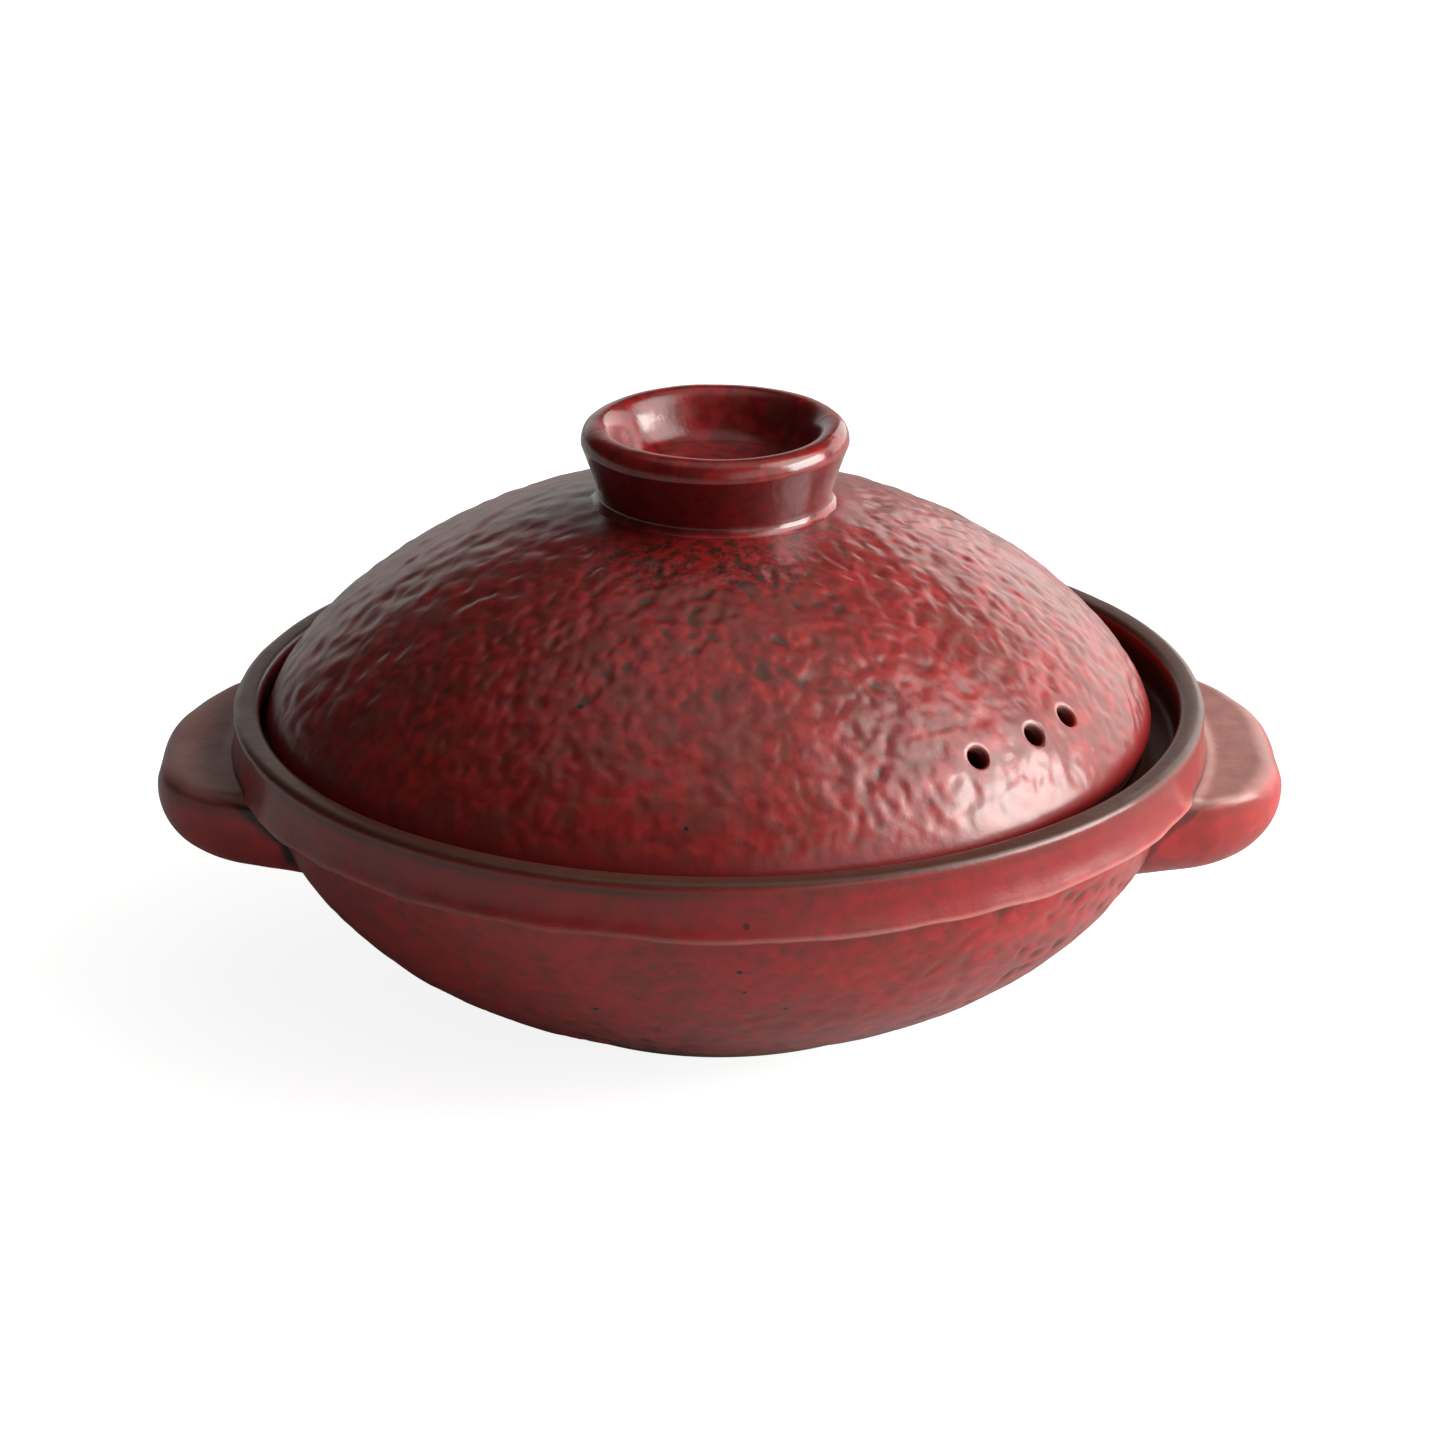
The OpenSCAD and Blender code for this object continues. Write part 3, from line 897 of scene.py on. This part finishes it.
def tab_form(side):
    """A handle's points and faces, with its underside at z = 0: rings between two middle points."""
    thick = TAB_T[side]
    outline = tab_outline(side)
    forward = np.roll(outline, -1, 0) - np.roll(outline, 1, 0)
    forward /= np.linalg.norm(forward, axis=1)[:, None]
    inward = np.stack([-forward[:, 1], forward[:, 0]], 1)
    # The top edge is tight along the sides and rounder at the tip
    tip = smooth_step(outline[:, 0], *TIP_ROUND_X)
    inset, height = tab_section(thick, TAB_TOP_ROUND + TAB_TIP_MORE * tip)
    middle = np.array((TAB_MIDDLE_X, 0.0))
    edges = [outline + inward * d[:, None] for d in inset]
    shares = np.arange(1, TAB_FLAT_ROWS + 1) / TAB_FLAT_ROWS
    rings = [(middle + (edges[0] - middle) * share, height[0]) for share in shares]
    rings += zip(edges[1:], height[1:])
    rings += [(middle + (edges[-1] - middle) * share, height[-1]) for share in shares[-2::-1]]
    points = [[(*middle, 0)], *(np.column_stack(ring) for ring in rings), [(*middle, thick)]]
    return np.concatenate(points), ring_faces([1, *[TAB_COLUMNS] * len(rings), 1])


def build_tab(name, side, seed):
    """A handle: a blunt clay tab, turned a little back and luted to the bowl."""
    thick = TAB_T[side]
    top_z = TAB_TOP_Z[side]
    p, faces = tab_form(side)
    level = p[:, 2] > thick - 0.01
    dull = np.maximum(level, smooth_step(p[:, 0], *TIP_DULL_X))
    dull = dull * (p[:, 2] > thick / 2)
    # Soft waves push each point away from the tab's middle, on its flat faces mostly up or down
    away = (p - np.array((TAB_REACH - 45, 0, thick / 2))) * [1, 1, 2.2]
    away /= np.maximum(np.linalg.norm(away, axis=1), 1e-6)[:, None]
    waves = ripple(p, ((0.35, 26, seed), (0.12, 9, seed + 1)))
    x, y, z = (p + away * (waves - TAB_WAVES_IN)[:, None]).T
    c, s = math.cos(TAB_TURN), math.sin(TAB_TURN)
    p = np.column_stack([x * c - y * s, x * s + y * c, z + top_z - thick])
    # x, y and z are views, which follow the changes to p below
    x, y, z = p.T
    # The root ends inside the bowl's wall
    wall = bowl_outer_r(z)
    least = wall - TAB_ROOT_DEPTH
    pushed = np.sqrt(np.maximum(least**2 - y**2, 0))
    p[:, 0] = np.where(np.hypot(x, y) < least, pushed, x)
    from_axis = np.hypot(x, y)
    # A soft fillet of slip runs from the top face up to the collar
    gap = np.maximum(from_axis - wall, 0)
    top = smooth_step(z, top_z - 3.4, top_z - 1.0)
    p[:, 2] += TAB_FILLET_UP * top * (1 - np.minimum(gap / TAB_FILLET, 1)) ** 2
    # Painted shade, with dark glaze crept in, under the ridge where the handle's side meets it,
    # stronger on the left handle
    edge = np.maximum(TAB_CREASE_W[side] + 0.9 * noise(p, 4, seed + 2), 0.4)
    past = np.maximum(from_axis - (wall + 6.5 * smooth_step(z, 58, 69.5)), 0)
    crease_shade = bell(past, 0, edge, 4) * (1 - top) * (y < CREASE_FRONT_Y)
    crease_shade *= smooth_step(z, *TAB_CREASE_Z)
    # Painted shade: an olive band under the top edge
    band = smooth_step(z, top_z - 9, top_z - 3.5) * (1 - top)
    marks = {
        "top": top,
        "dull": dull * top,
        "crease_shade": crease_shade * TAB_CREASE_SHADE_SHARE[side],
        "band": band * TAB_BAND_SHADE_SHARE[side],
    }
    if side < 0:
        p[:, 0] *= -1
        faces = [f[::-1] for f in faces]
    return make_mesh(name, p, faces, marks)


# Materials

LID_RED = (0.285, 0.015, 0.014)
LID_DEEP = (0.180, 0.010, 0.010)
LID_SPECK = (0.260, 0.008, 0.009)
BOWL_RED = (0.430, 0.017, 0.017)
BOWL_DEEP = (0.335, 0.017, 0.017)
KNOB_RED = (0.250, 0.009, 0.010)
KNOB_DEEP = (0.150, 0.005, 0.006)
KNOB_WALL_SHADE = (0.060, 0.003, 0.004)
HANDLE_RED = (0.470, 0.026, 0.026)
HANDLE_DEEP = (0.370, 0.023, 0.022)
DEEP = (0.200, 0.007, 0.008)
BROWN = (0.155, 0.028, 0.019)
OLIVE = (0.045, 0.022, 0.012)
THIN = (0.060, 0.026, 0.016)
DUST = (0.325, 0.158, 0.136)
DUST_DARK = (0.235, 0.118, 0.099)
DARK_POOL_AND_SHADE = (0.008, 0.009, 0.005)
GALLERY_SHADE = (0.085, 0.026, 0.015)
VENT_PALE_HIGHLIGHT = (0.600, 0.400, 0.370)
RIDGE_PALE_HIGHLIGHT = (0.560, 0.260, 0.230)
CLAY = (0.330, 0.200, 0.130)

GLAZE_IOR = 1.5
SPECULAR = 0.5
COAT = 0.35
COAT_ROUGHNESS = 0.18
ROUGHNESS = (0.30, 0.42)
KNOB_COAT = 0.40
KNOB_COAT_ROUGHNESS = 0.12
KNOB_ROUGHNESS = (0.17, 0.24)
HANDLE_ROUGHNESS = (0.42, 0.52)
GLAZE_BUMP = 0.10

# Marks of the bowl, from the bottom layer up: name, colour and share
BOWL_LAYERS = (
    # Painted shade: a deeper red on the collar, most on the right
    ("collar", DEEP, 0.75),
    # Painted shade under the lip
    ("shade_under_lip", OLIVE, 0.85),
    ("thin", THIN, 0.95),
    # Pale thin glaze and a painted highlight along the ridge
    ("ridge", RIDGE_PALE_HIGHLIGHT, 0.55),
    # Painted shade in the creases at the handles
    ("crease_shade", DARK_POOL_AND_SHADE, 1),
    # Painted shade in the gallery well
    ("gallery", GALLERY_SHADE, 1),
    ("bare", CLAY, 1),
)

# Scattered pores, and the single pinholes that the photograph shows: place and radius
PORE_SPACING = 13
PORE_R = 0.42
PINHOLE_EDGE = 0.35
PINHOLES = {
    "bowl_glaze": (
        ((7.2, -140.1, 74.9), 0.75),
        ((5.4, -130.6, 57.2), 0.65),
        ((6.8, -126.6, 49.5), 0.45),
        ((-33.5, -115.4, 39.4), 0.70),
        ((18.0, -120.4, 41.6), 0.60),
    ),
    "lid_glaze": (((-37.6, -90.6, 118.3), 0.80), ((-8.8, -121.1, 95.2), 0.50)),
    "knob_glaze": (((-8.3, -34.2, 167.3), 0.80),),
}


class Nodes:
    """Short ways to add shader nodes to one tree."""

    def __init__(self, tree):
        self.tree = tree

    def add(self, kind, inputs=None, **properties):
        """A new node of a kind, with its properties and inputs set."""
        node = self.tree.nodes.new("ShaderNode" + kind)
        for name, value in properties.items():
            setattr(node, name, value)
        self.set(node, inputs or {})
        return node

    def set(self, node, inputs):
        """Gives inputs of a node their values, or links them to the sockets given."""
        for key, value in inputs.items():
            if isinstance(value, bpy.types.NodeSocket):
                self.tree.links.new(value, node.inputs[key])
            else:
                node.inputs[key].default_value = value

    def math(self, kind, a, b):
        """Arithmetic on two values, each a number or a socket."""
        return self.add("Math", {0: a, 1: b}, operation=kind).outputs["Value"]

    def vector_math(self, kind, vector, other):
        """Arithmetic on a vector's socket and three numbers."""
        return self.add("VectorMath", {0: vector, 1: other}, operation=kind).outputs

    def ramp(self, value, low, high, top=1.0):
        """0 at low, top at high and a smooth change between."""
        inputs = {"Value": value, "From Min": low, "From Max": high, "To Max": top}
        return self.add("MapRange", inputs, interpolation_type="SMOOTHSTEP").outputs["Result"]

    def mix(self, factor, a, b):
        """A mix of two colours, each a tuple or a socket."""
        a, b = ((*c, 1) if isinstance(c, tuple) else c for c in (a, b))
        return self.add("Mix", {0: factor, 6: a, 7: b}, data_type="RGBA").outputs[2]


class Glaze(Nodes):
    """Mottled glaze: soft red spots on a deeper red, then shares of brown, flecks and grain.

    Hollows in the clay are dark, and pores and pinholes darker still. More colours can be
    painted over it before it is finished.
    """

    def __init__(self, name, red, deep, spot_size, brown, fleck, grain, stretch=None):
        self.material = bpy.data.materials.new(name)
        self.material.use_nodes = True
        super().__init__(self.material.node_tree)
        self.place = self.add("TexCoord").outputs["Object"]
        self.shader = self.tree.nodes["Principled BSDF"]
        self.set(self.shader, {"IOR": GLAZE_IOR})
        self.coat(COAT, COAT_ROUGHNESS)
        broad = self.math("MULTIPLY", self.math("SUBTRACT", self.noise(26, 2), 0.5), 0.5)
        spots = self.math("ADD", self.noise(spot_size, 1.5, 0.5, 0.2, stretch), broad)
        self.colour = self.mix(self.ramp(spots, 0.39, 0.61), deep, red)
        patches = self.noise(1.5 * spot_size, 2, 0.5, 0.3, stretch)
        self.paint(self.ramp(self.math("SUBTRACT", patches, broad), 0.44, 0.68), BROWN, brown)
        flecks = self.noise(0.6 * spot_size, 1, 0.5, 0, stretch)
        self.paint(self.ramp(flecks, 0.60, 0.78), OLIVE, fleck)
        hollow = self.mark("hollow")
        self.paint(self.ramp(hollow, 0.10, 0.60), DEEP, 0.50)
        self.paint(self.ramp(hollow, 0.35, 0.90), OLIVE, 0.80)
        self.paint(self.ramp(self.noise(0.45, 2, 0.6), 0.62, 0.38), OLIVE, grain)
        pores = self.add("TexVoronoi", {"Vector": self.place, "Scale": 1 / (PORE_SPACING * MM)})
        edge = PORE_R / PORE_SPACING
        middle = 0.6 * PORE_R / PORE_SPACING
        self.paint(self.ramp(pores.outputs["Distance"], edge, middle), DARK_POOL_AND_SHADE)
        for place, radius in PINHOLES.get(name, ()):
            self.paint(self.near(place, radius, PINHOLE_EDGE), DARK_POOL_AND_SHADE)

    def coat(self, weight, roughness):
        """The clear, glossy layer on top."""
        self.set(self.shader, {"Coat Weight": weight, "Coat Roughness": roughness})

    def noise(self, size, detail=3.0, roughness=0.55, distortion=0.0, stretch=None):
        """Noise whose features are about size across, finer along an axis that is stretched."""
        place = self.place
        if stretch is not None:
            place = self.add("Mapping", {"Vector": place, "Scale": stretch}).outputs["Vector"]
        inputs = {"Vector": place, "Scale": 1 / (size * MM), "Detail": detail}
        inputs |= {"Roughness": roughness, "Distortion": distortion}
        return self.add("TexNoise", inputs).outputs["Fac"]

    def paint(self, where, colour, share=1):
        """Lays a colour, or a socket's colours, over what is there."""
        if share != 1:
            where = self.math("MULTIPLY", where, share)
        self.colour = self.mix(where, self.colour, colour)

    def mark(self, name):
        """A mark of the mesh, which is 0 where a piece has none of that name."""
        return self.add("Attribute", attribute_name=name).outputs["Fac"]

    def near(self, place, radius, soft):
        """1 within a radius of a place, and a soft fall to 0 beyond it."""
        away = self.vector_math("DISTANCE", self.place, [v * MM for v in place])["Value"]
        return self.ramp(away, (radius + soft) * MM, radius * MM)

    def along(self, place, way):
        """How far along a direction a point lies from a place."""
        away = self.vector_math("SUBTRACT", self.place, [v * MM for v in place])["Vector"]
        return self.vector_math("DOT_PRODUCT", away, [v / MM for v in way])["Value"]

    def dull(self, gloss, name, full):
        """Lets a value of the shader fall with the gloss."""
        self.set(self.shader, {name: self.math("MULTIPLY", gloss, full)})

    def finished(self, low, high):
        """The material, with an uneven roughness and the fine unevenness of a fired glaze."""
        rough = self.add("MapRange", {"Value": self.noise(9, 3), "To Min": low, "To Max": high})
        fine = self.math("MULTIPLY", self.noise(0.8, 2), 0.15)
        height = self.math("ADD", self.noise(2.6, 2), fine)
        bump = {"Height": height, "Distance": GLAZE_BUMP * MM, "Strength": 1.0}
        self.set(self.shader, {
            "Base Color": self.colour,
            "Roughness": rough.outputs["Result"],
            "Normal": self.add("Bump", bump).outputs["Normal"],
        })
        return self.material


def lid_material():
    m = Glaze("lid_glaze", LID_RED, LID_DEEP, 4.6, 0.75, 0.30, 0.12)
    m.paint(m.mark("edge"), DEEP, 0.8)
    speckle = m.mix(m.ramp(m.noise(3.0, 4, 0.8), 0.40, 0.60), LID_SPECK, DARK_POOL_AND_SHADE)
    m.paint(m.mark("collar"), speckle, 0.85)
    # Pale thin glaze and a painted highlight round the vents, most on the side away from the rim
    for angle in VENT_ANGLES:
        centre, out = vent_frame(angle)
        uphill = np.cross(out, np.cross((0, 0, 1.0), out))
        side = m.ramp(m.along(centre, uphill), -1.5, 3.0)
        pale_and_highlight = m.math("MULTIPLY", m.near(centre, VENT_R + 0.9, 0.8), side)
        m.paint(pale_and_highlight, VENT_PALE_HIGHLIGHT, 0.42)
    return m.finished(*ROUGHNESS)


def bowl_material():
    m = Glaze("bowl_glaze", BOWL_RED, BOWL_DEEP, 4.3, 0.5, 0.32, 0.07, (1, 1, 1.3))
    for mark, colour, share in BOWL_LAYERS:
        m.paint(m.mark(mark), colour, share)
    # The painted-shade gallery also loses most of its gloss
    dull_gallery_shade = m.math("MULTIPLY", m.mark("gallery"), 0.85)
    dull_lip = m.math("MULTIPLY", m.mark("thin"), 0.3)
    gloss = m.math("SUBTRACT", 1.0, m.math("ADD", dull_gallery_shade, dull_lip))
    m.dull(gloss, "Specular IOR Level", SPECULAR)
    m.dull(gloss, "Coat Weight", COAT)
    return m.finished(*ROUGHNESS)


def knob_material():
    m = Glaze("knob_glaze", KNOB_RED, KNOB_DEEP, 5, 0.5, 0.3, 0.08)
    # Painted shade on the knob's wall under the lip
    m.paint(m.mark("wall"), KNOB_WALL_SHADE, 0.65)
    m.coat(KNOB_COAT, KNOB_COAT_ROUGHNESS)
    return m.finished(*KNOB_ROUGHNESS)


def handle_material():
    m = Glaze("handle_glaze", HANDLE_RED, HANDLE_DEEP, 7, 0.3, 0.12, 0.05)
    # Painted shade under the top edge
    m.paint(m.mark("band"), OLIVE, 0.6)
    dust = m.mix(m.ramp(m.noise(9, 3, 0.5, 0.3), 0.3, 0.7), DUST_DARK, DUST)
    m.paint(m.mark("top"), dust, 0.85)
    # Painted shade in the crease under the ridge
    m.paint(m.mark("crease_shade"), DARK_POOL_AND_SHADE)
    m.dull(m.math("SUBTRACT", 1.0, m.mark("dull")), "Coat Weight", COAT)
    return m.finished(*HANDLE_ROUGHNESS)


# Setting


def toward(azimuth, height):
    """A direction from its turn, 0 toward the camera and 90 to the right, and its height."""
    a, h = math.radians(azimuth), math.radians(height)
    return (math.cos(h) * math.sin(a), -math.cos(h) * math.cos(a), math.sin(h))


def build_world():
    """A dark studio with soft glows, which the camera itself sees as plain white."""
    world = bpy.data.worlds.new("studio")
    bpy.context.scene.world = world
    world.use_nodes = True
    nodes = Nodes(world.node_tree)
    way = nodes.add("TexCoord").outputs["Generated"]
    total = WORLD_BASE
    for aim, reach, strength in WORLD_GLOWS:
        outer, inner = (math.cos(math.radians(angle)) for angle in reach)
        near = nodes.vector_math("DOT_PRODUCT", way, toward(*aim))["Value"]
        total = nodes.math("ADD", total, nodes.ramp(near, outer, inner, strength))
    glow, end = (nodes.tree.nodes[name] for name in ("Background", "World Output"))
    nodes.set(glow, {"Color": (*LIGHT_TINT, 1), "Strength": total})
    white = nodes.add("Background", {"Color": WHITE, "Strength": 1.0})
    seen = nodes.add("LightPath").outputs["Is Camera Ray"]
    choose = nodes.add("MixShader", {0: seen, 1: glow.outputs[0], 2: white.outputs[0]})
    nodes.set(end, {"Surface": choose.outputs[0]})


def build_floor():
    """A floor that keeps the shadow and is lifted to white for the camera alone."""
    mesh = bpy.data.meshes.new("floor")
    corners = [(x * FLOOR_SIZE, y * FLOOR_SIZE, 0) for x, y in ((-1, -1), (1, -1), (1, 1), (-1, 1))]
    mesh.from_pydata(corners, [], [(0, 1, 2, 3)])
    floor = bpy.data.objects.new("floor", mesh)
    bpy.context.scene.collection.objects.link(floor)
    material = bpy.data.materials.new("floor_white")
    material.use_nodes = True
    nodes = Nodes(material.node_tree)
    seen = nodes.add("LightPath").outputs["Is Camera Ray"]
    nodes.set(nodes.tree.nodes["Principled BSDF"], {
        "Base Color": (FLOOR_GREY, FLOOR_GREY, FLOOR_GREY, 1),
        "Roughness": FLOOR_ROUGHNESS,
        "Specular IOR Level": 0.0,
        "Emission Color": WHITE,
        "Emission Strength": nodes.math("MULTIPLY", seen, FLOOR_LIFT),
    })
    mesh.materials.append(material)


def aimed(name, data, place, target):
    """Puts a camera or lamp at a place, looking at a target."""
    item = bpy.data.objects.new(name, data)
    item.location = place
    item.rotation_euler = (Vector(target) - item.location).to_track_quat("-Z", "Y").to_euler()
    bpy.context.scene.collection.objects.link(item)
    return item


def build_lamps():
    for name, way, distance, size, power in LAMPS:
        light = bpy.data.lights.new(name, "AREA")
        light.shape = "RECTANGLE"
        light.size, light.size_y = size
        light.energy = power
        light.color = LIGHT_TINT
        aimed(name, light, LAMP_AIM + distance * Vector(toward(*way)), LAMP_AIM)


def build_camera():
    data = bpy.data.cameras.new("camera")
    data.lens = CAMERA_LENS
    data.sensor_width = CAMERA_SENSOR
    back = CAMERA_DISTANCE * math.cos(CAMERA_HEIGHT_ANGLE)
    up = CAMERA_DISTANCE * math.sin(CAMERA_HEIGHT_ANGLE)
    place = (0, -back, RIM_PLANE_Z + up)
    bpy.context.scene.camera = aimed("camera", data, place, CAMERA_TARGET)


def dress(piece, body, slot, material, *nodes):
    """Puts a piece on its body, in place of the CAD nodes that it stands for."""
    piece.data.materials.clear()
    piece.data.materials.append(material)
    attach(piece, body)
    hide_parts(*nodes)


bpy.context.scene.view_settings.view_transform = "Standard"
build_camera()
build_world()
build_floor()
build_lamps()

right_tab = build_tab("tab_right", 1, 51)
left_tab = build_tab("tab_left", -1, 61)
bowl = build_bowl([v.co / MM for tab in (right_tab, left_tab) for v in tab.data.vertices])
dome = build_dome()
knob = build_knob()
dress(bowl, "pot", "bowl_glaze", bowl_material(), "pot_bowl")
dress(dome, "lid", "lid_glaze", lid_material(), "lid_dome")
dress(knob, "lid", "knob_glaze", knob_material(), "lid_knob")
tab_glaze = handle_material()
dress(right_tab, "pot", "handle_glaze", tab_glaze, "handle_right")
dress(left_tab, "pot", "handle_glaze", tab_glaze, "handle_left")
